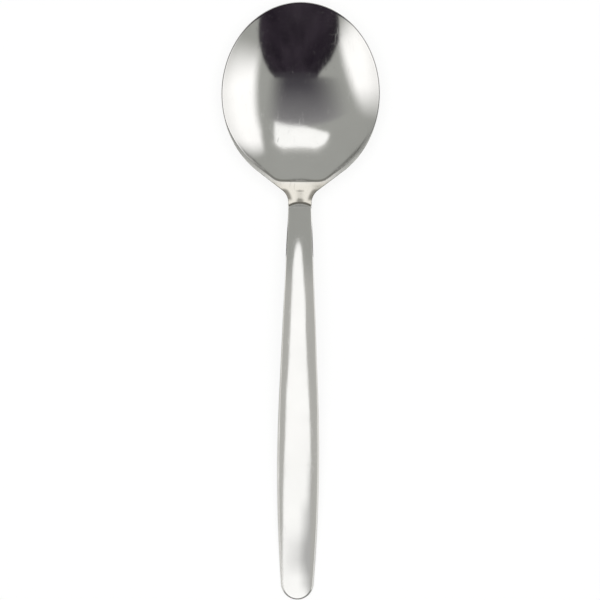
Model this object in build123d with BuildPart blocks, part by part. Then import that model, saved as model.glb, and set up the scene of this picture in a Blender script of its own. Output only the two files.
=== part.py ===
# Soup spoon in polished stainless steel: a pressed elliptical bowl with its neck, and an arched handle.
# Millimetres. X across, +Y towards the bowl's tip, Z up from the table that the spoon lies on.
import os
from math import cos, radians, sin, sqrt, tan

from build123d import *

os.makedirs("parts", exist_ok=True)

# Whole spoon
spoon_length = 175.0

# Bowl: an elliptical dish, measured at its rim. The rim is ground to a flat land above a short lip
bowl_width = 46.2
bowl_length = 53.6
bowl_depth = 9.0
bowl_wall = 1.1
rim_land = 0.5
rim_lip = 0.35
rim_bevel = 0.15

# Neck: straight shoulders leave the ellipse and turn into the neck through a plan radius
shoulder_angle = 53.0
neck_width = 6.8
neck_corner_radius = 4.7
neck_straight = 1.4
neck_back_sag = 0.25

# The neck is lofted from a first section sunk into the dish to the seam
shoulder_lead = 3.0
shoulder_inset = 0.4
neck_sections = 8

# Handle: a crowned strip bent along its back line, which ends flat on the table
handle_thickness = 2.1
crown_radius = 26.0
rise_angle = 13.0
arch_run = 46.0
arch_foot_height = 10.0
landing_run = 12.0
landing_height = 1.0

# Handle outline: straight taper, shallow belly arc, rounded end
belly_start_width = 11.5
belly_start_from_end = 60.0
end_width = 9.7
end_round = 4.5
handle_face_edge_radius = 0.6
handle_back_edge_radius = 0.3

# How far cutting shapes reach past what they cut
cut_margin = 3.0

# Places along the spoon
bowl_tip_y = spoon_length / 2
bowl_centre_y = bowl_tip_y - bowl_length / 2
handle_end_y = bowl_tip_y - spoon_length

# Rim of the bowl
rim_height = bowl_depth + bowl_wall
lip_height = rim_height - rim_lip
rim_half_width = bowl_width / 2
rim_half_length = bowl_length / 2
inner_half_width = rim_half_width - rim_land
plan_stretch = bowl_length / bowl_width

# Back of the dish, an arc across that the plan stretch lengthens
dish_radius = (rim_half_width**2 + lip_height**2) / (2 * lip_height)

neck_half = neck_width / 2


def crown_sag(half_width):
    """How far the crowned face has fallen below its middle at this distance from it."""
    return crown_radius - sqrt(crown_radius**2 - half_width**2)


# The neck is as thick as the handle's edge, measured square to the table
neck_thickness = (handle_thickness - crown_sag(neck_half)) / cos(radians(rise_angle))

# Shoulder: where the ellipse runs at the shoulder angle, as a distance past the bowl's middle
shoulder_slope = tan(radians(shoulder_angle))
shoulder_lean = shoulder_slope * plan_stretch
shoulder_share = shoulder_lean / sqrt(1 + shoulder_lean**2)
shoulder_run = rim_half_length * shoulder_share
shoulder_half_width = rim_half_width * sqrt(1 - shoulder_share**2)

# Plan corner between shoulder and neck, and the seam behind it
corner_tangent = neck_corner_radius * tan(radians(shoulder_angle / 2))
corner_run = shoulder_run + (shoulder_half_width - neck_half) / shoulder_slope
corner_start = corner_run - corner_tangent * cos(radians(shoulder_angle))
corner_end = corner_run + corner_tangent
seam_run = corner_end + neck_straight
seam_y = bowl_centre_y - seam_run


def dish_drop(run):
    """Height of the dish's centre of curvature above its back, at a distance past the bowl's middle."""
    return sqrt(dish_radius**2 - (run / plan_stretch) ** 2)


def dish_depth(run):
    """How far the dish's back lies below the rim on the centre line."""
    return rim_height - dish_radius + dish_drop(run)


# The neck's back leaves the dish tangentially at the shoulder and levels off after this run
shoulder_depth = dish_depth(shoulder_run)
back_slope = shoulder_run / plan_stretch**2 / dish_drop(shoulder_run)
back_run = 2 * (shoulder_depth - neck_thickness) / back_slope


def neck_half_width(run):
    """Half the outline's width at a distance past the bowl's middle."""
    if run < shoulder_run:
        return rim_half_width * sqrt(1 - (run / rim_half_length) ** 2) - shoulder_inset
    if run < corner_start:
        return shoulder_half_width - (run - shoulder_run) * shoulder_slope
    if run < corner_end:
        return neck_half + neck_corner_radius - sqrt(neck_corner_radius**2 - (corner_end - run) ** 2)
    return neck_half


def neck_depth(run):
    """How far the neck's back lies below the rim on the centre line."""
    if run < shoulder_run:
        return dish_depth(run) - shoulder_inset
    left = max(0.0, 1 - (run - shoulder_run) / back_run)
    return neck_thickness + (shoulder_depth - neck_thickness) * left**2


def neck_edge(run):
    """Height of the neck's side wall, which grows from the rim's lip to the full neck."""
    share = min(1.0, max(0.0, (run - shoulder_run) / (corner_end - shoulder_run)))
    return rim_lip + (neck_thickness - neck_back_sag - rim_lip) * share**2


dish_plane = Plane(origin=(0, bowl_centre_y, 0), x_dir=(1, 0, 0), z_dir=(0, -1, 0))
dish_axis = Axis((0, bowl_centre_y, 0), (0, 0, 1))

# Hollow of the bowl, which opens out over a narrow bevel at the rim
with BuildPart() as hollow:
    with BuildSketch(dish_plane):
        with BuildLine():
            bevel_foot = (inner_half_width - 2 * rim_bevel, rim_height - rim_bevel)
            bevel_top = (inner_half_width + 2 * cut_margin, rim_height + cut_margin)
            TangentArc((0, bowl_wall), bevel_foot, tangent=(1, 0))
            Polyline(bevel_foot, bevel_top, (0, rim_height + cut_margin), (0, bowl_wall))
        make_face()
    revolve(axis=dish_axis)
    scale(by=(1, plan_stretch, 1), about=(0, bowl_centre_y, 0))

# Bowl with its shoulders and neck
with BuildPart() as bowl:
    with BuildSketch(dish_plane):
        with BuildLine():
            TangentArc((0, 0), (rim_half_width, lip_height), tangent=(1, 0))
            Polyline(
                (rim_half_width, lip_height),
                (rim_half_width, rim_height - rim_bevel),
                (rim_half_width - rim_bevel, rim_height),
                (0, rim_height),
                (0, 0),
            )
        make_face()
    revolve(axis=dish_axis)
    scale(by=(1, plan_stretch, 1), about=(0, bowl_centre_y, 0))
    section_step = (seam_run - shoulder_run) / neck_sections
    section_runs = [shoulder_run + section_step * (number + 1) for number in range(neck_sections)]
    for run in [shoulder_run - shoulder_lead, *section_runs]:
        half_width = neck_half_width(run)
        edge = neck_edge(run)
        section_origin = (0, bowl_centre_y - run, rim_height)
        with BuildSketch(Plane(origin=section_origin, x_dir=(1, 0, 0), z_dir=(0, -1, 0))):
            with BuildLine():
                Polyline(
                    (-half_width, -edge),
                    (-half_width, -rim_bevel),
                    (-half_width + rim_bevel, 0),
                    (half_width - rim_bevel, 0),
                    (half_width, -rim_bevel),
                    (half_width, -edge),
                )
                ThreePointArc((-half_width, -edge), (0, -neck_depth(run)), (half_width, -edge))
            make_face()
    loft()
    add(hollow.part, mode=Mode.SUBTRACT)

bowl.part.label = "bowl"
export_step(bowl.part, "parts/bowl.step")

# Handle: the strip follows a line along its back, from the seam over the arch down to the table
rise = radians(rise_angle)
seam_foot = (seam_y, rim_height - neck_thickness)
lead_in_start = (seam_y + cut_margin * cos(rise), rim_height - neck_thickness - cut_margin * sin(rise))
arch_foot = (seam_y - arch_run, arch_foot_height)
landing_start = (handle_end_y + landing_run, landing_height)

with BuildPart() as handle:
    with BuildLine(Plane.YZ) as back_line:
        lead_in = Line(lead_in_start, seam_foot)
        arch = TangentArc(seam_foot, arch_foot, tangent=lead_in % 1)
        descent = TangentArc(arch_foot, landing_start, tangent=arch % 1)
        landing = TangentArc(landing_start, (handle_end_y, 0), tangent=descent % 1)
        Line(landing @ 1, landing @ 1 + cut_margin * (landing % 1))
    with BuildSketch(Plane(origin=lead_in @ 0, x_dir=(1, 0, 0), z_dir=lead_in % 0)):
        strip_half = belly_start_width / 2 + cut_margin
        strip_edge = handle_thickness - crown_sag(strip_half)
        with BuildLine():
            Polyline((-strip_half, strip_edge), (-strip_half, 0), (strip_half, 0), (strip_half, strip_edge))
            ThreePointArc((-strip_half, strip_edge), (0, handle_thickness), (strip_half, strip_edge))
        make_face()
    sweep(path=back_line.line)
    # The blank's outline trims the strip, from below the table to above the arch
    with BuildSketch(Plane.XY.offset(-cut_margin)):
        with BuildLine():
            neck_corner = (neck_half, seam_y)
            belly_start = (belly_start_width / 2, handle_end_y + belly_start_from_end)
            end_start = (end_width / 2, handle_end_y + end_round)
            Line((0, seam_y), neck_corner)
            taper = Line(neck_corner, belly_start)
            belly = TangentArc(belly_start, end_start, tangent=taper % 1)
            TangentArc(end_start, (0, handle_end_y), tangent=belly % 1)
            mirror(about=Plane.YZ)
        make_face()
    strip_top = handle.part.bounding_box().max.Z
    extrude(amount=strip_top + 2 * cut_margin, mode=Mode.INTERSECT)
    # Walls run round the outline. The last one towards the bowl is the seam, which stays sharp
    walls = faces().filter_by(lambda face: abs(face.normal_at().Z) < 0.5).sort_by(Axis.Y)[:-1]
    crown = faces().filter_by(lambda face: face.normal_at().Z > 0.5)
    fillet(walls.edges() & crown.edges(), handle_face_edge_radius)
    walls = faces().filter_by(lambda face: abs(face.normal_at().Z) < 0.5).sort_by(Axis.Y)[:-1]
    back = faces().filter_by(lambda face: face.normal_at().Z < -0.5)
    fillet(walls.edges() & back.edges(), handle_back_edge_radius)

handle.part.label = "handle"
export_step(handle.part, "parts/handle.step")
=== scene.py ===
from math import atan2, cos, pi, radians, sin, sqrt, tan

import bmesh
import bpy
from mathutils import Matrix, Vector


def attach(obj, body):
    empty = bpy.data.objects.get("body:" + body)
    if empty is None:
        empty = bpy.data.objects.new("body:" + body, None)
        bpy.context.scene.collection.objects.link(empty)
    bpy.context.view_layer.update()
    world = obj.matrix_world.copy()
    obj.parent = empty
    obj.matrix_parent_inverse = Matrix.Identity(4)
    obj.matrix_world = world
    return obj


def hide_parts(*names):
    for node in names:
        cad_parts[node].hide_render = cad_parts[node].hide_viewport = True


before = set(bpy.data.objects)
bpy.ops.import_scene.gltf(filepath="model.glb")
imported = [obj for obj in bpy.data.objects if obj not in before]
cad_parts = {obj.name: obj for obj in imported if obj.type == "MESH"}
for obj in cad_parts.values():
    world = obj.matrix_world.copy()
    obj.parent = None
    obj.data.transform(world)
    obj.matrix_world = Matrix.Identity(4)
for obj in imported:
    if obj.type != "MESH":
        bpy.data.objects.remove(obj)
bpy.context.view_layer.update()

scene = bpy.context.scene
scene.view_settings.view_transform = "Standard"
mm = 0.001


class Wire:
    def __init__(self, tree, socket=None):
        self.tree, self.socket = tree, socket

    def node(self, kind, settings=None, sockets=None, out=0):
        made = self.tree.nodes.new(kind)
        for key, value in (settings or {}).items():
            if key == "stops":  # first and last stop are there already
                ramp = made.color_ramp.elements
                while len(ramp) < len(value):
                    ramp.new(0.5)
                for stop, (place, colour) in zip(ramp, value):
                    stop.position, stop.color = place, colour
            else:
                setattr(made, key, value)
        for key, value in (sockets or {}).items():
            if isinstance(value, Wire):
                self.tree.links.new(value.socket, made.inputs[key])
            else:
                made.inputs[key].default_value = value
        return Wire(self.tree, made.outputs[out] if made.outputs else None)

    def pick(self, name):
        return Wire(self.tree, self.socket.node.outputs[name])

    def math(self, operation, *values):
        return self.node("ShaderNodeMath", {"operation": operation}, dict(enumerate(values)))

    def split(self, vector):
        return self.node("ShaderNodeSeparateXYZ", {}, {0: vector})

    def mix(self, share, first, second):  # from the first colour to the second
        return self.node("ShaderNodeMix", {"data_type": "RGBA"}, {0: share, 6: first, 7: second}, out=2)

    def __add__(self, other): return self.math("ADD", self, other)
    def __radd__(self, other): return self.math("ADD", other, self)
    def __sub__(self, other): return self.math("SUBTRACT", self, other)
    def __rsub__(self, other): return self.math("SUBTRACT", other, self)
    def __mul__(self, other): return self.math("MULTIPLY", self, other)
    def __rmul__(self, other): return self.math("MULTIPLY", other, self)
    def __truediv__(self, other): return self.math("DIVIDE", self, other)
    def __rtruediv__(self, other): return self.math("DIVIDE", other, self)
    def __lt__(self, other): return self.math("LESS_THAN", self, other)
    def __gt__(self, other): return self.math("GREATER_THAN", self, other)

    def root(self): return self.math("SQRT", self)
    def size(self): return self.math("ABSOLUTE", self)
    def clip(self): return self.math("MINIMUM", self.math("MAXIMUM", self, 0.0), 1.0)

    def ramp(self, low, high):  # straight from 0 to 1 between two values
        return ((self - low) / (high - low)).clip()

    def ease(self, low, high):  # the same as a smooth step
        share = self.ramp(low, high)
        return share * share * (3.0 - 2.0 * share)


def smooth(share):
    share = min(1, max(0, share))
    return share * share * (3 - 2 * share)


def tangentArc(start, heading, end):  # circle through start and end, leaving start along heading
    left = (-heading[1], heading[0])
    chord = (end[0] - start[0], end[1] - start[1])
    radius = (chord[0] ** 2 + chord[1] ** 2) / (2 * (left[0] * chord[0] + left[1] * chord[1]))
    middle = (start[0] + left[0] * radius, start[1] + left[1] * radius)
    turn = 1 if radius > 0 else -1
    spoke = ((end[0] - middle[0]) / abs(radius), (end[1] - middle[1]) / abs(radius))
    return middle, radius, (-spoke[1] * turn, spoke[0] * turn)


spoon = {"length": 175 * mm, "rimHeight": 10.1 * mm}
tipY = spoon["length"] / 2
endY = -tipY

# polished steel
steel = {
    "colour": (0.64, 0.632, 0.612, 1), "dullColour": (0.58, 0.572, 0.552, 1), "dullShare": 0.45,
    "dullPatches": (0.3, 0.7), "wornColour": (0.70, 0.69, 0.67, 1), "wornPatches": (0.35, 0.65),
    "wornRoughness": 0.08, "ringStretch": (3.0, 0.004), "lengthStretch": (3.0, 0.03, 3.0),
    # the neck's two colours below are painted light: a warm painted reflection and a dark painted shade
    "reflectionTintColour": (0.53, 0.50, 0.44, 1), "paintedShadeColour": (0.16, 0.15, 0.13, 1), "paintedShadeRoughness": 0.12,
    "bowlRoughness": 0.085, "handleRoughness": 0.09, "evenShare": 0.8, "cloudShare": 0.3, "lineShare": 0.25,
    "lineScale": 900.0, "lineDepth": 0.000004, "waveScale": 38.0, "waveDepth": 0.00002, "cloudScale": 70.0,
    "warpScale": 160.0, "warp": 4 * mm,
    "scuffScale": 210.0, "scuffWidth": 0.018, "scuffPatches": (0.52, 0.68), "scuffDepth": 0.000002,
    "scuffRoughness": 0.12,
    "hairAngles": (28, -47), "hairScale": 2400.0, "hairStretch": 0.045, "hairCut": (0.67, 0.77),
    "bowlHair": 0.14, "handleHair": 0.07,
}


def steelMaterial(name, roughness, hair, grain, marks=None):
    material = bpy.data.materials.new(name)
    material.use_nodes = True
    tree = material.node_tree
    tree.nodes.clear()
    net = Wire(tree)
    place = net.node("ShaderNodeTexCoord", out="Object")

    def noise(vector, scale, **more):
        return net.node("ShaderNodeTexNoise", {}, {"Vector": vector, "Scale": scale, **more})

    drawn = grain(net, place)  # coordinates that run along the polishing
    lines = noise(drawn, steel["lineScale"], Detail=4.0, Roughness=0.65)
    cloud = noise(place, steel["cloudScale"], Detail=3.0, Roughness=0.55)
    waves = noise(place, steel["waveScale"], Detail=1.0)
    warped = net.node("ShaderNodeVectorMath", {"operation": "MULTIPLY_ADD"},
                      {0: noise(place, steel["warpScale"]).pick("Color"), 1: (steel["warp"],) * 3, 2: place})
    cells = net.node("ShaderNodeTexVoronoi", {"feature": "DISTANCE_TO_EDGE"},
                     {"Vector": warped, "Scale": steel["scuffScale"]})
    # crossed scratches, in patches
    scuff = (1.0 - cells.ease(0.0, steel["scuffWidth"])) * cloud.ease(*steel["scuffPatches"])
    hairs = 0.0
    for angle in steel["hairAngles"]:  # fine straight hairlines from wiping and stacking
        laid = net.node("ShaderNodeMapping", {}, {"Vector": warped, "Rotation": (0, 0, radians(angle)),
                                                  "Scale": (1.0, steel["hairStretch"], 1.0)})
        hairs = hairs + noise(laid, steel["hairScale"], Detail=1.0).ease(*steel["hairCut"])
    edge = net.node("ShaderNodeAttribute", {"attribute_name": "edge"}, out="Fac")
    worn = edge * cloud.ease(*steel["wornPatches"])
    dull = cloud.ease(*steel["dullPatches"]) * steel["dullShare"]
    colour = net.mix(dull, steel["colour"], steel["dullColour"])
    colour = net.mix(worn, colour, steel["wornColour"])
    rough = roughness * (steel["evenShare"] + steel["cloudShare"] * cloud + steel["lineShare"] * lines)
    rough = rough + steel["scuffRoughness"] * scuff + hair * hairs.clip() + steel["wornRoughness"] * worn
    # painted light on the neck: a warm painted reflection, then dark painted shade
    if marks:
        reflectionTint, paintedShade = marks(net, place, cloud)
        colour = net.mix(reflectionTint, colour, steel["reflectionTintColour"])
        colour = net.mix(paintedShade, colour, steel["paintedShadeColour"])
        rough = rough + steel["paintedShadeRoughness"] * paintedShade
    height = lines * steel["lineDepth"] + waves * steel["waveDepth"] - scuff * steel["scuffDepth"]
    bump = net.node("ShaderNodeBump", {}, {"Strength": 1.0, "Distance": 1.0, "Height": height})
    shader = net.node("ShaderNodeBsdfPrincipled", {},
                      {"Base Color": colour, "Metallic": 1.0, "Roughness": rough, "Normal": bump})
    net.node("ShaderNodeOutputMaterial", {}, {"Surface": shader})
    return material


def ringGrain(net, place):  # polishing runs round the bowl
    parts = net.split(place)
    across, along = parts.pick("X"), (parts.pick("Y") - bowlMiddleY) / bowlStretch
    ring = (across * across + along * along).root()
    turn = net.math("ARCTAN2", along, across)
    outward, around = steel["ringStretch"]
    return net.node("ShaderNodeCombineXYZ", {}, {0: ring * outward, 1: turn * around, 2: parts.pick("Z")})


def lengthGrain(net, place):  # polishing runs along the handle
    return net.node("ShaderNodeMapping", {}, {"Vector": place, "Scale": steel["lengthStretch"]})


# painted reflection and painted shade on the neck: pairs are where a mark fades in or out, runs are measured
# from the seam towards the bowl
neckPaintedLight = {
    "reflectionTint": 0.85, "tintRun": (9 * mm, 6 * mm), "tintHeight": (0.05 * mm, -0.05 * mm),
    "crease": 0.95, "creaseHalf": (3.38 * mm, 3.15 * mm), "creaseHeight": (0.03 * mm, 0.12 * mm),
    "corner": 0.9, "cornerInset": (1.6 * mm, 0.6 * mm), "cornerFront": (5.9 * mm, 4.9 * mm),
    "cornerBack": (1.7 * mm, 2.9 * mm), "cornerDepth": (0.6 * mm, 0.25 * mm),
    "spot": 0.6, "spotRun": 2.0 * mm, "spotSquash": 0.5, "spotSize": (0.3 * mm, 1.1 * mm),
    "bar": 0.45, "barRun": 4.9 * mm, "barSquash": 0.08, "barSize": (0.1 * mm, 0.5 * mm),
    "middleShade": 0.25, "middleShadeHalf": (1.6 * mm, 0.1 * mm), "middleShadeRun": (5.6 * mm, 4.4 * mm),
    "rim": 0.5, "rimInside": (0.97, 0.985), "rimOutside": (1.004, 0.998), "rimHalf": (1.2 * mm, 3.6 * mm),
    "rimRun": (14 * mm, 9 * mm), "evenShare": 0.6, "cloudShare": 0.7,
}


def neckPaintedShadeAndReflection(net, place, cloud):  # painted reflection as a warm colour on the neck's flat land, and painted shade in its crease, corners and along the hollow's edge
    paintedLight = neckPaintedLight
    parts = net.split(place)
    across, ahead = parts.pick("X"), parts.pick("Y") - seamY
    half, square = across.size(), across * across
    climb = crownDrop + bowl["neckDip"] - ahead * tan(handle["riseAngle"])
    climb = climb - square / (2 * handle["crownRadius"])
    # painted shade along the crease where the handle's rise meets the flat land
    crease = half.ease(*paintedLight["creaseHalf"]) * (1.0 - climb.size().ease(*paintedLight["creaseHeight"]))
    outside, behind = half - neckHalf - bowl["neckCorner"], ahead - bowl["neckStraight"]
    inset = (outside * outside + behind * behind).root() - bowl["neckCorner"]  # in from the corner's edge
    # painted shade in the neck's two corners
    corners = inset.ease(*paintedLight["cornerInset"]) * ahead.ease(*paintedLight["cornerFront"])
    below = spoon["rimHeight"] - parts.pick("Z")
    # not down the side wall
    corners = corners * ahead.ease(*paintedLight["cornerBack"]) * below.ease(*paintedLight["cornerDepth"])
    # painted shade: a spot, a bar and a narrow band along the neck's middle line
    spotAhead, barAhead = ahead - paintedLight["spotRun"], ahead - paintedLight["barRun"]
    spot = 1.0 - (square * paintedLight["spotSquash"] + spotAhead * spotAhead).root().ease(*paintedLight["spotSize"])
    bar = 1.0 - (square * paintedLight["barSquash"] + barAhead * barAhead).root().ease(*paintedLight["barSize"])
    middleShade = half.ease(*paintedLight["middleShadeHalf"]) * ahead.ease(*paintedLight["middleShadeRun"])
    reach = net.node("ShaderNodeAttribute", {"attribute_name": "reach"}, out="Fac")
    rimLine = reach.ease(*paintedLight["rimInside"]) * reach.ease(*paintedLight["rimOutside"])  # painted shade as a dark line just inside the hollow's edge
    rimLine = rimLine * half.ease(*paintedLight["rimHalf"]) * ahead.ease(*paintedLight["rimRun"])
    # the warm painted reflection covers the neck's flat land in front of the crease, and bounds the painted
    # shade marks there
    onNeck = ahead.ease(*paintedLight["tintRun"]) * climb.ease(*paintedLight["tintHeight"])
    shadeMarks = corners * paintedLight["corner"] + spot * paintedLight["spot"] + bar * paintedLight["bar"] + middleShade * paintedLight["middleShade"]
    shadeMarks = onNeck * shadeMarks * (paintedLight["evenShare"] + paintedLight["cloudShare"] * cloud)
    paintedShade = net.math("MAXIMUM", crease * paintedLight["crease"], shadeMarks) + paintedLight["rim"] * rimLine
    return onNeck * paintedLight["reflectionTint"], paintedShade.clip()


def blankMesh(name, columns, sheet):  # a column runs from the face's middle round the edge to the back's
    mesh = bpy.data.meshes.new(name)
    rows = len(columns[0])
    points = [(x, y, -sheet * through) for column in columns for x, y, through, edge, reach in column]
    count = len(columns)
    faces = []
    for number in range(count):
        here, there = number * rows, (number + 1) % count * rows
        faces += [(here + row, here + row + 1, there + row + 1, there + row) for row in range(rows - 1)]
    mesh.from_pydata(points, [], faces)
    for place, label in ((3, "edge"), (4, "reach")):
        values = [point[place] for column in columns for point in column]
        mesh.attributes.new(label, "FLOAT", "POINT").data.foreach_set("value", values)
    work = bmesh.new()
    work.from_mesh(mesh)
    bmesh.ops.remove_doubles(work, verts=work.verts, dist=1e-7)
    work.to_mesh(mesh)
    work.free()
    return mesh


def press(name, blank, heights, sizes, material):  # Geometry Nodes lift the flat blank between two die faces
    tree = bpy.data.node_groups.new(name + "Press", "GeometryNodeTree")
    tree.interface.new_socket("Blank", in_out="INPUT", socket_type="NodeSocketGeometry")
    tree.interface.new_socket("Pressing", in_out="OUTPUT", socket_type="NodeSocketGeometry")
    sockets = {}
    for key in sizes:
        sockets[key] = tree.interface.new_socket(key, in_out="INPUT", socket_type="NodeSocketFloat")
    net = Wire(tree)
    entry = net.node("NodeGroupInput")
    size = {key: entry.pick(key) for key in sizes}
    place = net.split(net.node("GeometryNodeInputPosition"))
    x, y = place.pick("X"), place.pick("Y")
    through = place.pick("Z") / (0.0 - size["Sheet"])
    face, back = heights(net, size, x, y)
    lifted = net.node("ShaderNodeCombineXYZ", {}, {0: x, 1: y, 2: face + (back - face) * through})
    shape = net.node("GeometryNodeSetPosition", {}, {"Geometry": entry.pick("Blank"), "Position": lifted})
    shape = net.node("GeometryNodeSetShadeSmooth", {}, {"Geometry": shape})
    shape = net.node("GeometryNodeRealizeInstances", {}, {"Geometry": shape})
    shape = net.node("GeometryNodeSetMaterial", {}, {"Geometry": shape, "Material": material})
    net.node("NodeGroupOutput", {}, {"Pressing": shape})

    piece = bpy.data.objects.new(name, blank)
    scene.collection.objects.link(piece)
    modifier = piece.modifiers.new("press", "NODES")
    modifier.node_group = tree
    for key, value in sizes.items():
        modifier[sockets[key].identifier] = value
    pressed = piece.evaluated_get(bpy.context.evaluated_depsgraph_get())
    plain = bpy.data.meshes.new_from_object(pressed)
    piece.modifiers.remove(modifier)
    piece.data = plain
    print(name, "pressed:", len(plain.polygons), "faces")
    return piece


# bowl
bowl = {
    "width": 46.2 * mm, "length": 53.6 * mm, "depth": 9.0 * mm, "wall": 1.1 * mm, "lip": 0.35 * mm,
    "rimLand": 0.3 * mm, "shoulderLand": 1.1 * mm, "landStart": radians(75), "landTurn": radians(40),
    "hollowBack": 25.5 * mm, "hollowCorner": 6.2 * mm, "cornerShare": 0.8, "roundDegrees": 0.35,
    "roundSteps": 6, "tipTurn": pi - 0.1,
    "edgeRound": 0.13 * mm, "neckEdgeRound": 0.25 * mm, "seamEdgeRound": 0.02 * mm,
    "edgeBend": 4, "edgeSteep": 0.84, "bevelGain": 5,
    "shoulderAngle": radians(53), "neckWidth": 6.8 * mm, "neckCorner": 4.7 * mm, "neckStraight": 1.4 * mm,
    "neckThickness": 1.926 * mm, "sideStart": 1.0 * mm, "sideEnd": 5.5 * mm,
    "neckDip": 0.12 * mm, "dipStart": 0.4 * mm, "dipEnd": 5.0 * mm,
    "softStart": 3.0 * mm, "softEnd": 1.0 * mm, "rimSoftness": 0.22 * mm, "neckSoftness": 0.18 * mm,
    "creaseSoftness": 0.12 * mm, "ridgeSoftness": 1.2 * mm,
    "sheet": 2.0 * mm, "seamColumns": 12, "neckColumns": 5, "cornerColumns": 18, "shoulderColumns": 24,
    "rimColumns": 110, "dishRows": 44, "dishBunching": 1.6, "landRows": 30,
    "backRows": 40, "backBunching": 0.8, "backWear": 12,
}
bowlStretch = bowl["length"] / bowl["width"]
bowlMiddleY = tipY - bowl["length"] / 2
bowlHalf, neckHalf = bowl["width"] / 2, bowl["neckWidth"] / 2

# plan of the shoulders, as run back from the bowl's middle and half width
slope = tan(bowl["shoulderAngle"])
lean = slope * bowlStretch
shoulderRun = bowl["length"] / 2 * lean / sqrt(1 + lean**2)
shoulderHalf = bowlHalf / sqrt(1 + lean**2)
cornerTangent = bowl["neckCorner"] * tan(bowl["shoulderAngle"] / 2)
cornerRun = shoulderRun + (shoulderHalf - neckHalf) / slope
cornerStart = cornerRun - cornerTangent * cos(bowl["shoulderAngle"])
cornerEnd = cornerRun + cornerTangent
seamRun = cornerEnd + bowl["neckStraight"]
seamY = bowlMiddleY - seamRun

# turns from the neck's middle line, seen from the bowl's middle
seamTurn, cornerEndTurn = atan2(neckHalf, seamRun), atan2(neckHalf, cornerEnd)
cornerStartTurn = atan2(shoulderHalf - (cornerStart - shoulderRun) * slope, cornerStart)
shoulderTurn = atan2(shoulderHalf, shoulderRun)


def bowlOutline(turn):  # half width, run and the outward normal there
    ray = (sin(turn), cos(turn))
    if turn < seamTurn:
        return seamRun * tan(turn), seamRun, 0.0, 1.0
    if turn < cornerEndTurn:
        return neckHalf, neckHalf / tan(turn), 1.0, 0.0
    if turn < cornerStartTurn:
        middle = (neckHalf + bowl["neckCorner"], cornerEnd)
        toward = ray[0] * middle[0] + ray[1] * middle[1]
        reach = toward - sqrt(toward**2 - middle[0] ** 2 - middle[1] ** 2 + bowl["neckCorner"] ** 2)
        x, run = reach * ray[0], reach * ray[1]
        return x, run, (middle[0] - x) / bowl["neckCorner"], (middle[1] - run) / bowl["neckCorner"]
    if turn < shoulderTurn:
        reach = (shoulderHalf + shoulderRun * slope) / (ray[0] + slope * ray[1])
        return reach * ray[0], reach * ray[1], cos(bowl["shoulderAngle"]), sin(bowl["shoulderAngle"])
    reach = 1 / sqrt((ray[0] / bowlHalf) ** 2 + (ray[1] / bowlHalf / bowlStretch) ** 2)
    x, run = reach * ray[0], reach * ray[1]
    normal = Vector((x, run / bowlStretch**2)).normalized()
    return x, run, normal.x, normal.y


def hollowEdge(turn):  # plan of the hollow's edge: inside the outline, straight across at the neck
    x, run, normalX, normalRun = bowlOutline(turn)
    grown = smooth((bowl["landStart"] - turn) / bowl["landTurn"])
    land = bowl["rimLand"] + (bowl["shoulderLand"] - bowl["rimLand"]) * grown
    x, run = x - normalX * land, run - normalRun * land
    nearCorner = atan2(bowl["hollowCorner"], bowl["hollowBack"]) * bowl["cornerShare"]
    if run < bowl["hollowBack"] and turn > nearCorner:
        return x, run
    return bowl["hollowCorner"] * min(1, turn / backTurn), bowl["hollowBack"]


backTurn = 0.5 * pi
while hollowEdge(backTurn)[1] < bowl["hollowBack"]:
    backTurn -= 0.0005


def softHollow(turn):  # the hollow's corners are rounded by averaging along the edge
    steps = range(-bowl["roundSteps"], bowl["roundSteps"] + 1)
    turns = [turn + radians(step * bowl["roundDegrees"]) for step in steps]
    edges = [hollowEdge(abs(one)) for one in turns]
    halves = [edge[0] if one >= 0 else -edge[0] for one, edge in zip(turns, edges)]
    return sum(halves) / len(turns), sum(edge[1] for edge in edges) / len(turns)


# side of a pressed strip: a bevel with soft corners, then the wall and a small round below, in bevel widths
bevel = [(0.06, 0.03), (0.14, 0.095), (0.4, 0.335), (0.66, 0.575), (0.88, 0.785), (0.96, 0.88), (1.0, 1.0)]
bevelFoot = [(1.0, 0.16), (0.8, 0.03)]  # the second of each is a share of the thickness, left above the back


def bevelRows(width, thickness, steep):  # share of the inset, and depth below the face
    top = [(out, drop * width * steep) for out, drop in bevel]
    return top + [(out, thickness * (1 - left)) for out, left in bevelFoot]


def neckShare(run):  # from the shoulder to the neck
    return min(1, max(0, (run - shoulderRun) / (cornerEnd - shoulderRun)))


def bowlSide():  # one side of the outline, from the neck's middle to the tip: half width, run and inset there
    flat, tight, soft = neckHalf - bowl["neckEdgeRound"], bowl["seamEdgeRound"], bowl["neckEdgeRound"]
    seamSteps = bowl["seamColumns"]
    side = [(flat * number / seamSteps, seamRun, 0.0, tight) for number in range(seamSteps + 1)]
    step = (cornerEnd - seamRun) / bowl["neckColumns"]
    for number in range(bowl["neckColumns"]):
        side.append((neckHalf, seamRun + step * number, soft, 0.0 if number else tight))
    stops = [(cornerEndTurn, bowl["cornerColumns"]), (cornerStartTurn, bowl["shoulderColumns"]),
             (shoulderTurn, bowl["rimColumns"]), (pi, 0)]
    for (first, count), (last, _) in zip(stops, stops[1:]):
        for number in range(count + (last == pi)):
            x, run, normalX, normalRun = bowlOutline(first + (last - first) * number / count)
            grown = bowl["edgeRound"] + (soft - bowl["edgeRound"]) * neckShare(run)
            side.append((x, run, normalX * grown, normalRun * grown))
    return side


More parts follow.
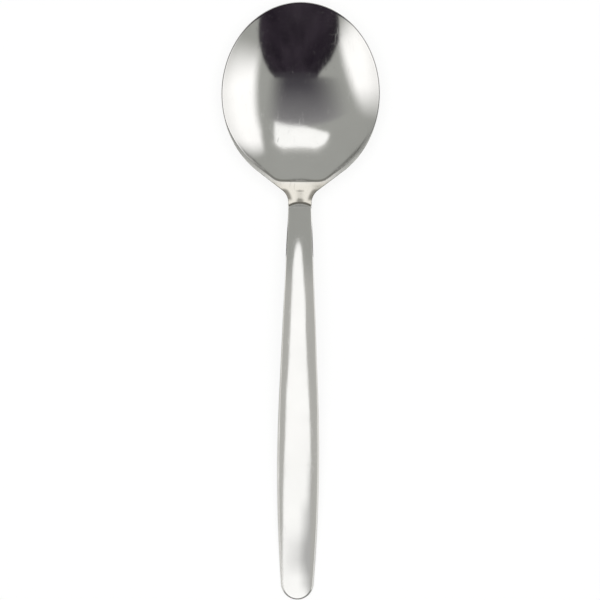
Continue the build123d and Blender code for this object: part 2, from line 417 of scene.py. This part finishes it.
def bowlColumn(x, run, insetX, insetRun, side):
    turn = atan2(x, run)
    hollowX, hollowRun = softHollow(turn) if turn < bowl["tipTurn"] else hollowEdge(turn)
    turnIn = atan2(hollowX, hollowRun)
    innerHalf, innerRun = bowlHalf - bowl["rimLand"], bowl["length"] / 2 - bowl["rimLand"]
    ring = 1 / sqrt((sin(turnIn) / innerHalf) ** 2 + (cos(turnIn) / innerRun) ** 2)
    inX, inRun = x - insetX, run - insetRun

    plan = []  # half width, run, share of the way through, edge wear, reach over the hollow
    for row in range(bowl["dishRows"]):
        part = 1 - (1 - row / bowl["dishRows"]) ** bowl["dishBunching"]  # rows close up towards the rim
        bent = part ** bowl["edgeBend"]  # an ellipse in the middle, the hollow's own outline at the rim
        reach = part * ((1 - bent) + bent * sqrt(hollowX**2 + hollowRun**2) / ring) * ring
        plan.append((reach * sin(turnIn), reach * cos(turnIn), 0.0, 0.0, part))
    width = sqrt((inX - hollowX) ** 2 + (inRun - hollowRun) ** 2)
    for row in range(bowl["landRows"]):
        part = (1 - cos(pi * row / (bowl["landRows"] - 1))) / 2
        plan.append((hollowX + (inX - hollowX) * part, hollowRun + (inRun - hollowRun) * part, 0.0, part**2,
                     1 + part * width / innerHalf))
    # the rim's edge is round, the shoulders' and the neck's are bevelled like the handle's
    sideShare = smooth((run - shoulderRun - bowl["sideStart"]) / (bowl["sideEnd"] - bowl["sideStart"]))
    wall = bowl["lip"] + (bowl["neckThickness"] - bowl["lip"]) * sideShare
    inset = max(insetX, insetRun) if run > cornerEnd else sqrt(insetX**2 + insetRun**2)
    bevelled = min(1, neckShare(run) * bowl["bevelGain"])
    rows = bevelRows(inset, wall, bowl["edgeSteep"])
    for number, (out, drop) in enumerate(rows + [(0.0, wall)]):
        bend = pi * (number + 1) / (len(rows) + 1)
        across = sin(bend) + (out - sin(bend)) * bevelled
        through = (1 - cos(bend)) / 2
        through += (drop / wall - through) * bevelled
        plan.append((inX + insetX * across, inRun + insetRun * across, through, 1.0, 1 + width / innerHalf))
    for row in range(1, bowl["backRows"] + 1):
        part = (1 - row / bowl["backRows"]) ** bowl["backBunching"]
        plan.append((inX * part, inRun * part, 1.0, part ** bowl["backWear"], 2.0))
    return [(side * across, bowlMiddleY - back, *rest) for across, back, *rest in plan]


def bowlHeights(net, size, x, y):
    along = y - size["Bowl Middle"]
    run = 0.0 - along
    lengthways = along / (size["Bowl Length"] / size["Bowl Width"])

    def dish(halfWidth, rise, away):  # round dish, from the squared distance away from its middle
        radius = (halfWidth * halfWidth + rise * rise) / (2.0 * rise)
        return radius - net.math("MAXIMUM", radius * radius - away, 1e-7).root()

    rim = size["Depth"] + size["Wall"]
    hollowHalf = size["Hollow Width"] / 2.0
    reach = net.node("GeometryNodeInputNamedAttribute", {"data_type": "FLOAT"}, {"Name": "reach"})
    away = reach * hollowHalf
    hollow = dish(hollowHalf, size["Depth"], away * away) + size["Wall"]
    # the handle's crowned rise starts on the neck, where it cuts the flat land in an arch
    climb = (size["Seam"] - y) * size["Rise"] + size["Crown"] - x * x / (2.0 * size["Crown Radius"])
    back = size["Hollow Back"]
    level = rim - size["Neck Dip"] * run.ease(back + bowl["dipStart"], back + bowl["dipEnd"])
    land = net.math("SMOOTH_MAX", level, rim + climb, size["Crease Softness"])
    atNeck = run.ease(back - bowl["softStart"], back - bowl["softEnd"])
    soft = size["Rim Softness"] + (size["Neck Softness"] - size["Rim Softness"]) * atNeck
    face = net.math("SMOOTH_MIN", hollow, land, soft)
    outer = dish(size["Bowl Width"] / 2.0, rim - size["Lip"], x * x + lengthways * lengthways)
    sideShare = run.ease(size["Shoulder Run"] + bowl["sideStart"], size["Shoulder Run"] + bowl["sideEnd"])
    neckBack = rim - size["Neck Thickness"] * sideShare
    return face, net.math("SMOOTH_MIN", outer, neckBack, size["Ridge Softness"])


# handle
handle = {
    "thickness": 2.1 * mm, "crownRadius": 26.0 * mm, "riseAngle": radians(13), "archRun": 46.0 * mm,
    "archFootHeight": 10.0 * mm, "landingRun": 12.0 * mm, "landingHeight": 0.76 * mm, "endLift": 0.06 * mm,
    "bendSoftness": 4.0 * mm, "bellyWidth": 11.5 * mm, "bellyFromEnd": 60.0 * mm, "endWidth": 9.7 * mm,
    "endRound": 4.5 * mm, "edgeRound": 0.62 * mm, "neckEdgeRound": 0.25 * mm, "edgeRoundRun": 65 * mm,
    "endEdgeShare": 0.68, "endSteep": 0.8, "steepRun": 10 * mm,
    "seamEdgeRound": 0.02 * mm, "seamSpine": 1.5 * mm,
    "sheet": 2.0 * mm, "station": 0.6 * mm, "faceRows": 14, "faceWear": 14, "backRows": 8, "backWear": 10,
    "endColumns": 24, "seamColumns": 6,
}


def handleOutline():  # right-hand side from the seam to the end: half width, y and the outward normal
    bellyY, endStartY = endY + handle["bellyFromEnd"], endY + handle["endRound"]
    bellyStart, endStart = (handle["bellyWidth"] / 2, bellyY), (handle["endWidth"] / 2, endStartY)
    taper = Vector((bellyStart[0] - neckHalf, bellyY - seamY)).normalized()
    bellyMiddle, bellyRadius, bellyHeading = tangentArc(bellyStart, taper, endStart)
    endMiddle, endRadius, _ = tangentArc(endStart, bellyHeading, (0.0, endY))
    side = []
    count = round((seamY - endStartY) / handle["station"])
    for number in range(1, count):
        y = seamY + (endStartY - seamY) * number / count
        if y > bellyY:
            x = neckHalf + (bellyStart[0] - neckHalf) * (seamY - y) / (seamY - bellyY)
            side.append((x, y, -taper.y, taper.x))
        else:
            x = bellyMiddle[0] + sqrt(bellyRadius**2 - (y - bellyMiddle[1]) ** 2)
            normal = ((x - bellyMiddle[0]) / abs(bellyRadius), (y - bellyMiddle[1]) / abs(bellyRadius))
            side.append((x, y, *normal))
    first = atan2(endStart[1] - endMiddle[1], endStart[0] - endMiddle[0])
    last = atan2(endY - endMiddle[1], 0.0 - endMiddle[0])
    for number in range(handle["endColumns"]):
        turn = first + (last - first) * number / handle["endColumns"]
        out = (cos(turn), sin(turn))
        side.append((endMiddle[0] + abs(endRadius) * out[0], endMiddle[1] + abs(endRadius) * out[1], *out))
    side.append((0.0, endY, 0.0, -1.0))
    return side, endMiddle[1]


def crownSag(x):  # how far the crowned face falls towards its sides
    return handle["crownRadius"] - sqrt(handle["crownRadius"] ** 2 - x**2)


crownDrop = crownSag(neckHalf)


def handleColumns():
    side, endMiddleY = handleOutline()
    soft, tight, steepest = handle["neckEdgeRound"], handle["seamEdgeRound"], bowl["edgeSteep"]
    flat = neckHalf - soft
    right = [(flat * number / handle["seamColumns"], seamY, 0.0, tight, tight, steepest)
             for number in range(handle["seamColumns"] + 1)]
    right.append((neckHalf, seamY, soft, tight, soft, steepest))
    for x, y, normalX, normalY in side:
        grown = min(1, (seamY - y) / handle["edgeRoundRun"])
        width = soft + (handle["edgeRound"] - soft) * grown**2
        width *= 1 - (1 - handle["endEdgeShare"]) * normalY**2  # the end's edge is tighter than the sides'
        steep = steepest + (1 - steepest) * smooth((seamY - y) / handle["steepRun"])
        steep *= 1 - (1 - handle["endSteep"]) * normalY**2
        right.append((x, y, normalX * width, normalY * width, width, steep))
    left = [(-x, y, -insetX, insetY, width, steep) for x, y, insetX, insetY, width, steep in right]
    columns = []
    for x, y, insetX, insetY, width, steep in left + right[1:-1][::-1]:
        inX, inY = x - insetX, y - insetY
        spineY = min(max(inY, endMiddleY), seamY - handle["seamSpine"])
        column = []
        for row in range(handle["faceRows"]):
            part = 1 - (1 - row / (handle["faceRows"] - 1)) ** 2
            column.append((inX * part, spineY + (inY - spineY) * part, 0.0, part ** handle["faceWear"], 0.0))
        for out, drop in bevelRows(width, handle["thickness"] - crownSag(x), steep):
            across = inX + insetX * out
            drop -= crownSag(across) - crownSag(inX)
            thick = handle["thickness"] - crownSag(across)
            column.append((across, inY + insetY * out, drop / thick, 1.0, 0.0))
        column.append((inX, inY, 1.0, 1.0, 0.0))
        for row in range(1, handle["backRows"] + 1):
            part = 1 - row / handle["backRows"]
            column.append((inX * part, spineY + (inY - spineY) * part, 1.0, part ** handle["backWear"], 0.0))
        columns.append(column)
    return columns


def handleHeights(net, size, x, y):
    def backLine(y):  # arch, descent and landing are three arcs that share their tangents
        def arc(name):
            off, radius = y - size[name + " Middle"], size[name + " Radius"]
            rise = net.math("MAXIMUM", radius * radius - off * off, 0.0).root()
            return size[name + " Height"] + size[name + " Side"] * rise
        before, after = y > size["Descent Start"], y < size["Landing Start"]
        return before * arc("Arch") + after * arc("Landing") + (1.0 - before - after) * arc("Descent")

    soft = size["Bend Softness"]
    ahead, behind = backLine(y + soft), backLine(y - soft)
    back = (ahead + 2.0 * backLine(y) + behind) / 4.0
    tilt = (ahead - behind) / (2.0 * soft)
    square = (1.0 + tilt * tilt).root()
    crown = size["Crown Radius"]
    sag = crown - (crown * crown - x * x).root()
    return back + (size["Thickness"] - sag) * square, back


seamFoot = (seamY, spoon["rimHeight"] - bowl["neckThickness"])
seamHeading = (-cos(handle["riseAngle"]), sin(handle["riseAngle"]))
archFoot = (seamY - handle["archRun"], handle["archFootHeight"])
landingStart = (endY + handle["landingRun"], handle["landingHeight"])
archMiddle, archRadius, archHeading = tangentArc(seamFoot, seamHeading, archFoot)
descentMiddle, descentRadius, descentHeading = tangentArc(archFoot, archHeading, landingStart)
landingMiddle, landingRadius, _ = tangentArc(landingStart, descentHeading, (endY, handle["endLift"]))
archFlat = handle["bendSoftness"] ** 2 / (4 * abs(archRadius))  # how far softening lowers the arch

bowlSteel = steelMaterial("bowlSteel", steel["bowlRoughness"], steel["bowlHair"], ringGrain, neckPaintedShadeAndReflection)
handleSteel = steelMaterial("handleSteel", steel["handleRoughness"], steel["handleHair"], lengthGrain)

bowlPlaces = bowlSide()
bowlColumns = [bowlColumn(*place, -1) for place in bowlPlaces[:0:-1]]
bowlColumns += [bowlColumn(*place, 1) for place in bowlPlaces[:-1]]
bowlBlank = blankMesh("bowlBlank", bowlColumns, bowl["sheet"])
bowlPiece = press("spoonBowl", bowlBlank, bowlHeights, {
    "Sheet": bowl["sheet"], "Bowl Middle": bowlMiddleY, "Bowl Width": bowl["width"],
    "Bowl Length": bowl["length"], "Hollow Width": bowl["width"] - 2 * bowl["rimLand"],
    "Depth": bowl["depth"], "Wall": bowl["wall"], "Lip": bowl["lip"],
    "Neck Thickness": bowl["neckThickness"], "Shoulder Run": shoulderRun,
    "Seam": seamY, "Rise": tan(handle["riseAngle"]), "Crown": crownDrop / cos(handle["riseAngle"]) - archFlat,
    "Crown Radius": handle["crownRadius"] * cos(handle["riseAngle"]),
    "Hollow Back": bowl["hollowBack"], "Neck Dip": bowl["neckDip"], "Neck Softness": bowl["neckSoftness"],
    "Rim Softness": bowl["rimSoftness"], "Crease Softness": bowl["creaseSoftness"],
    "Ridge Softness": bowl["ridgeSoftness"],
}, bowlSteel)

handleBlank = blankMesh("handleBlank", handleColumns(), handle["sheet"])
handlePiece = press("spoonHandle", handleBlank, handleHeights, {
    "Sheet": handle["sheet"], "Thickness": handle["thickness"], "Crown Radius": handle["crownRadius"],
    "Arch Middle": archMiddle[0], "Arch Height": archMiddle[1],
    "Arch Radius": abs(archRadius), "Arch Side": 1.0,
    "Descent Middle": descentMiddle[0], "Descent Height": descentMiddle[1],
    "Descent Radius": abs(descentRadius), "Descent Side": 1.0 if descentMiddle[1] < 0 else -1.0,
    "Landing Middle": landingMiddle[0], "Landing Height": landingMiddle[1],
    "Landing Radius": abs(landingRadius), "Landing Side": 1.0 if landingMiddle[1] < 0 else -1.0,
    "Descent Start": archFoot[0], "Landing Start": landingStart[0], "Bend Softness": handle["bendSoftness"],
}, handleSteel)

for piece, node, slot in ((bowlPiece, "bowl", "bowl_steel"), (handlePiece, "handle", "handle_steel")):
    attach(piece, "root")
    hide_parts(node)
print("spoon pieces ride on the frame")

# studio, where places on the cards are in millimetres
studio = {
    "floorColour": (0.86, 0.86, 0.86, 1), "floorSize": 6.0, "floorGlow": 0.8, "floorDrop": 0.02 * mm,
    "roomColour": (0.50, 0.51, 0.49, 1), "horizonColour": (0.12, 0.12, 0.12, 1), "horizon": 0.1,
    "white": (1, 1, 1, 1), "black": (0, 0, 0, 1), "lampWhite": (1.62, 1.62, 1.635, 1),
    "keyPower": 16.0, "keySize": 1.2, "keyHeight": 1.4,
}


def card(name, corners, colour, border=None, cover=None, tone=None, oneSided=False):  # reflector or flag
    outline = [Vector(corner) * mm for corner in corners]
    count = len(outline)
    points, faces, glow = outline, [tuple(range(count))], [1.0] * count
    if border:  # fades out from the inner size to the full one
        pivot, inner = Vector(border[0]) * mm, border[1]
        points = [pivot + (corner - pivot) * inner for corner in outline] + outline
        for number in range(count):
            after = (number + 1) % count
            faces.append((number, count + number, count + after, after))
        glow += [0.0] * count
    mesh = bpy.data.meshes.new(name)
    mesh.from_pydata(points, [], faces)
    mesh.attributes.new("glow", "FLOAT", "POINT").data.foreach_set("value", glow)
    material = bpy.data.materials.new(name)
    material.use_nodes = True
    material.node_tree.nodes.clear()
    net = Wire(material.node_tree)
    place = net.split(net.node("ShaderNodeTexCoord", out="Object"))
    x, y, z = (place.pick(axis) / mm for axis in "XYZ")
    lit = tone(net, x, y, z) if tone else colour
    shade = net.node("ShaderNodeEmission", {}, {"Color": lit, "Strength": 1.0})
    shown = net.node("ShaderNodeAttribute", {"attribute_name": "glow"}, out="Fac")
    if cover:
        shown = shown * cover(x, y, z)
    if oneSided:
        shown = shown * (1.0 - net.node("ShaderNodeNewGeometry", out="Backfacing"))
    clear = net.node("ShaderNodeBsdfTransparent")
    shade = net.node("ShaderNodeMixShader", {}, {0: shown, 1: clear, 2: shade})
    net.node("ShaderNodeOutputMaterial", {}, {"Surface": shade})
    mesh.materials.append(material)
    sheet = bpy.data.objects.new(name, mesh)
    scene.collection.objects.link(sheet)
    sheet.visible_camera = sheet.visible_shadow = sheet.visible_diffuse = False


def lying(left, right, near, far, height):  # corners of a card that lies level
    return [(left, near, height), (right, near, height), (right, far, height), (left, far, height)]


def upright(first, last, low, high):  # corners of a card on the floor, between two places
    return [(*first, low), (*last, low), (*last, high), (*first, high)]


# long lamp over the handle, and its glow round about
panel = {
    "colour": (1.53, 1.54, 1.555, 1), "height": 85, "pivot": (-3, -40, 85), "inner": 0.95, "darkest": 0.42,
    "end": (-90.0, -99.0), "sideLoss": 0.52, "side": (14.0, 34.0), "sideAlong": (-72.0, -88.0),
    "endSide": (2.0, 28.0), "behindLoss": 0.37, "behind": (-101.0, -113.0), "behindSide": (-40.0, 10.0),
    "right": [(-0.5, 42.5), (3, 40), (4.6, 36), (6.2, 29), (8.8, 17), (12.1, 1), (13.3, -18), (17.2, -41),
              (22.5, -56), (26.6, -69), (28.8, -82), (29, -95), (31, -112), (33, -124)],
    "left": [(-38, -124), (-35.5, -105), (-34.5, -93), (-32.5, -82), (-28.8, -69), (-27, -56), (-21, -41),
             (-17.8, -18), (-15.5, 1), (-13.8, 17), (-12.2, 29), (-9.8, 36), (-8, 40), (-4.5, 42.5)],
    "spillColour": (0.64, 0.64, 0.62, 1), "spillHeight": 86,
    "spillFront": (32.0, 8.0), "spillSide": (60.0, 46.0),
}


def panelTone(net, x, y, z):  # the lamp falls off behind the handle's end, more on one side
    atEnd = y.ease(*panel["end"])
    aside = x.ease(*panel["side"]) * y.ease(*panel["sideAlong"]) * (1.0 - atEnd)
    aside = aside + x.ramp(*panel["endSide"]) * atEnd
    behind = y.ease(*panel["behind"]) * x.ramp(*panel["behindSide"])
    level = (1.0 - panel["sideLoss"] * aside) * (1.0 - panel["behindLoss"] * behind)
    return net.mix(net.math("MAXIMUM", level, panel["darkest"]), studio["black"], panel["colour"])


def panelSpillCover(x, y, z):
    return y.ease(*panel["spillFront"]) * x.size().ease(*panel["spillSide"])


card("handlePanel", [(x, y, panel["height"]) for x, y in panel["right"] + panel["left"]], None,
     border=(panel["pivot"], panel["inner"]), tone=panelTone)
card("panelSpill", lying(-60, 60, -128, 32, panel["spillHeight"]), panel["spillColour"],
     cover=panelSpillCover)
card("neckPanel", lying(-14, 14, 32, 70, 300), (1.30, 1.29, 1.27, 1), border=((0, 50, 300), 0.9))

# dark cloth behind the neck, and a grey roof over the bowl
flag = {
    "y": 43, "pivot": (0, 43, 11), "inner": 0.96, "foldScale": 0.11, "foldStretch": 0.3, "folds": (0.3, 0.72),
    "dark": (0.017, 0.012, 0.02, 1), "light": (0.046, 0.035, 0.05, 1),
    "top": (0.062, 0.056, 0.068, 1), "topHeight": (106.0, 114.0),
    "outline": [(-14, 11), (-19, 27), (-26, 42), (-31, 68), (-32, 105), (-38, 150),
                (64, 150), (52, 100), (39.6, 64), (28.7, 39), (20.8, 24), (16, 11)],
}
roof = {
    "height": 60, "tone": (52.0, 81.0), "back": (55.6, 57.0), "front": (83.0, 79.0),
    "leftLean": 0.8, "leftFrom": 60.0, "left": (-44.0, -2.0),
    "rightLean": 0.25, "rightFrom": 80.0, "right": (35.0, 14.0),
    "stops": [(0.0, (0.04, 0.034, 0.045, 1)), (0.3, (0.09, 0.084, 0.1, 1)),
              (0.55, (0.2, 0.195, 0.21, 1)), (1.0, (0.36, 0.355, 0.37, 1))],
}


def flagTone(net, x, y, z):  # nearly black cloth in soft folds, with a lighter strip along its top
    hung = net.node("ShaderNodeCombineXYZ", {}, {0: x, 1: y, 2: z * flag["foldStretch"]})
    folds = net.node("ShaderNodeTexNoise", {}, {"Vector": hung, "Scale": flag["foldScale"], "Detail": 3.0})
    cloth = net.mix(folds.ease(*flag["folds"]), flag["dark"], flag["light"])
    return net.mix(z.ease(*flag["topHeight"]), cloth, flag["top"])


def roofTone(net, x, y, z):  # dark at the back, mid grey at the front
    return net.node("ShaderNodeValToRGB", {"stops": roof["stops"]}, {0: y.ramp(*roof["tone"])})


def roofCover(x, y, z):  # soft sides that lean outwards
    left = (x + roof["leftLean"] * (y - roof["leftFrom"])).ease(*roof["left"])
    right = (x - roof["rightLean"] * (y - roof["rightFrom"])).ease(*roof["right"])
    return left * right * y.ease(*roof["back"]) * y.ease(*roof["front"])


card("darkFlag", [(x, flag["y"], z) for x, z in flag["outline"]], None,
     border=(flag["pivot"], flag["inner"]), tone=flagTone, oneSided=True)
card("roofCard", lying(-74, 40, 51, 84, roof["height"]), None, cover=roofCover, tone=roofTone)

# tall lamps at both sides of the bowl
sideLamps = {
    "away": 300, "low": 4, "high": 400, "right": (-330, 540), "left": (-400, 280),
    "rightTop": (365.0, 255.0), "slopeFrom": 300.0, "slope": 0.5,
    "rightNear": (-110.0, 110.0), "nearLean": 0.3, "rightFar": (410.0, 242.0), "farLean": 0.4,
    "leftTop": (58.0, -62.0), "leftHeight": 308.0, "curveFrom": -120.0, "curve": 0.0019,
    "leftFar": (185.0, 45.0), "leftNear": (-340.0, -110.0),
    "footShare": 0.8, "foot": (40.0, 140.0),
}


def footFade(z):  # a little dimmer near the floor
    return sideLamps["footShare"] + (1 - sideLamps["footShare"]) * z.ease(*sideLamps["foot"])


def rightCover(x, y, z):  # its top slopes down at the far end
    past = y.math("MAXIMUM", y - sideLamps["slopeFrom"], 0.0)
    top = (z + sideLamps["slope"] * past).ease(*sideLamps["rightTop"])
    near = (y + sideLamps["nearLean"] * z).ease(*sideLamps["rightNear"])
    return top * near * (y - sideLamps["farLean"] * z).ease(*sideLamps["rightFar"]) * footFade(z)


def leftCover(x, y, z):  # its top curves down at the far end
    past = y.math("MAXIMUM", y - sideLamps["curveFrom"], 0.0)
    top = (z - sideLamps["leftHeight"] + sideLamps["curve"] * past * past).ease(*sideLamps["leftTop"])
    return top * y.ease(*sideLamps["leftFar"]) * y.ease(*sideLamps["leftNear"]) * footFade(z)


for name, x, ends, cover in (("rightPanel", sideLamps["away"], sideLamps["right"], rightCover),
                             ("leftPanel", -sideLamps["away"], sideLamps["left"], leftCover)):
    corners = upright((x, ends[0]), (x, ends[1]), sideLamps["low"], sideLamps["high"])
    card(name, corners, studio["lampWhite"], cover=cover)

# softbox tilted over the bowl: across and down on its face
softbox = {
    "tilt": radians(38), "distance": 150, "aimHeight": 2, "colour": (1.53, 1.54, 1.55, 1),
    "pivot": -16, "inner": 0.89,
    "outline": [(70, -43), (39, -43.3), (1.6, -41.8), (-35, -32), (-72, -17.5), (-78, -11), (-74, -0.5),
                (-62, 8.5), (-41, 8.8), (1.2, 5.7), (36, 8.4), (59.5, 11.9), (66.7, 7.3), (69.3, -20)],
    "spill": [(-80, 3), (80, 3), (80, 30), (-80, 30)], "spillBehind": 1, "spillColour": (1.0, 1.0, 0.985, 1),
    "spillHeight": (103.5, 118.3), "spillLeft": (-82.0, -50.0), "spillRight": (84.0, 52.0),
}
boxAim = Vector((0, sin(softbox["tilt"]), cos(softbox["tilt"])))
boxDown = Vector((0, cos(softbox["tilt"]), -sin(softbox["tilt"])))
boxHub = Vector((0, bowlMiddleY / mm, softbox["aimHeight"])) + boxAim * softbox["distance"]


def onBox(outline, behind=0):
    return [boxHub + boxAim * behind + Vector((x, 0, 0)) + boxDown * drop for x, drop in outline]


def boxSpillCover(x, y, z):  # glow that fades out below the softbox
    low = z.ramp(*softbox["spillHeight"])
    return low * low * x.ease(*softbox["spillLeft"]) * x.ease(*softbox["spillRight"])


card("frontSoftbox", onBox(softbox["outline"]), softbox["colour"],
     border=(boxHub + boxDown * softbox["pivot"], softbox["inner"]))
card("softboxSpill", onBox(softbox["spill"], softbox["spillBehind"]), softbox["spillColour"],
     cover=boxSpillCover)

# low strips light the handle's sides
strips = {"leftStrip": (-295, (0.80, 0.80, 0.78, 1)), "rightStrip": (295, (1.04, 1.04, 1.02, 1))}
stripFade = (26.0, 18.0)


def stripCover(x, y, z):
    return y.ease(*stripFade)


for name, (x, colour) in strips.items():
    card(name, upright((x, -220), (x, 26), 3, 54), colour, cover=stripCover)

# low flags darken the edges of the neck, the shoulders and the handle's end: both ends, bottom, top and grey
lowFlags = {
    "leftNeckFlag": ((-45, 22), (-45, 33), 3, 22, 0.06),
    "rightNeckFlag": ((45, 22), (45, 33), 3, 22, 0.18),
    "leftShoulderFlag": ((-15, 15), (-29, 25), 3, 13, 0.05),
    "rightShoulderFlag": ((15, 15), (29, 25), 3, 13, 0.1),
    "endFlag": ((-120, -150), (120, -150), 2, 62, 0.36),
}
for name, (first, last, low, high, grey) in lowFlags.items():
    card(name, upright(first, last, low, high), (grey, grey, grey, 1))

floorMaterial = bpy.data.materials.new("paleFloor")
floorMaterial.use_nodes = True
floorMaterial.node_tree.nodes.clear()
net = Wire(floorMaterial.node_tree)
path = net.node("ShaderNodeLightPath", out="Is Camera Ray")
mirrored = net.math("MAXIMUM", path.pick("Is Glossy Ray"), path.pick("Is Transmission Ray"))
seen = net.math("MAXIMUM", path, mirrored)
matte = net.node("ShaderNodeBsdfDiffuse", {}, {"Color": studio["floorColour"]})
white = net.node("ShaderNodeEmission", {}, {"Color": studio["white"], "Strength": 1.0})
floorShade = net.node("ShaderNodeMixShader", {}, {0: seen * studio["floorGlow"], 1: matte, 2: white})
net.node("ShaderNodeOutputMaterial", {}, {"Surface": floorShade})
floorMesh = bpy.data.meshes.new("floor")
half = studio["floorSize"] / 2
floorMesh.from_pydata(lying(-half, half, -half, half, 0), [], [(0, 1, 2, 3)])
floorMesh.materials.append(floorMaterial)
floor = bpy.data.objects.new("floor", floorMesh)
floor.location.z = -studio["floorDrop"]
scene.collection.objects.link(floor)

world = bpy.data.worlds.new("room")
scene.world = world
world.use_nodes = True
world.node_tree.nodes.clear()
net = Wire(world.node_tree)
path = net.node("ShaderNodeLightPath", out="Is Camera Ray")
level = net.split(net.node("ShaderNodeTexCoord", out="Generated")).pick("Z")
room = net.mix(level.ease(0.0, studio["horizon"]), studio["horizonColour"], studio["roomColour"])
sky = net.node("ShaderNodeBackground", {}, {"Color": net.mix(path, room, studio["white"]), "Strength": 1.0})
net.node("ShaderNodeOutputWorld", {}, {"Surface": sky})

lamp = bpy.data.lights.new("softKey", "AREA")
lamp.shape, lamp.size, lamp.energy = "DISK", studio["keySize"], studio["keyPower"]
key = bpy.data.objects.new("softKey", lamp)
key.location = (0.0, 0.0, studio["keyHeight"])
key.visible_glossy = False
scene.collection.objects.link(key)
print("studio set")

# camera straight above, turned a little as the spoon lies in the photo
view = {"height": 730 * mm, "lens": 148.4, "sensor": 36.0,
        "ahead": 0.7 * mm, "aside": 0.22 * mm, "roll": radians(0.4)}
lens = bpy.data.cameras.new("camera")
lens.lens, lens.sensor_width = view["lens"], view["sensor"]
camera = bpy.data.objects.new("camera", lens)
camera.location = (view["aside"], view["ahead"], view["height"])
camera.rotation_euler = (0.0, 0.0, view["roll"])
scene.collection.objects.link(camera)
scene.camera = camera
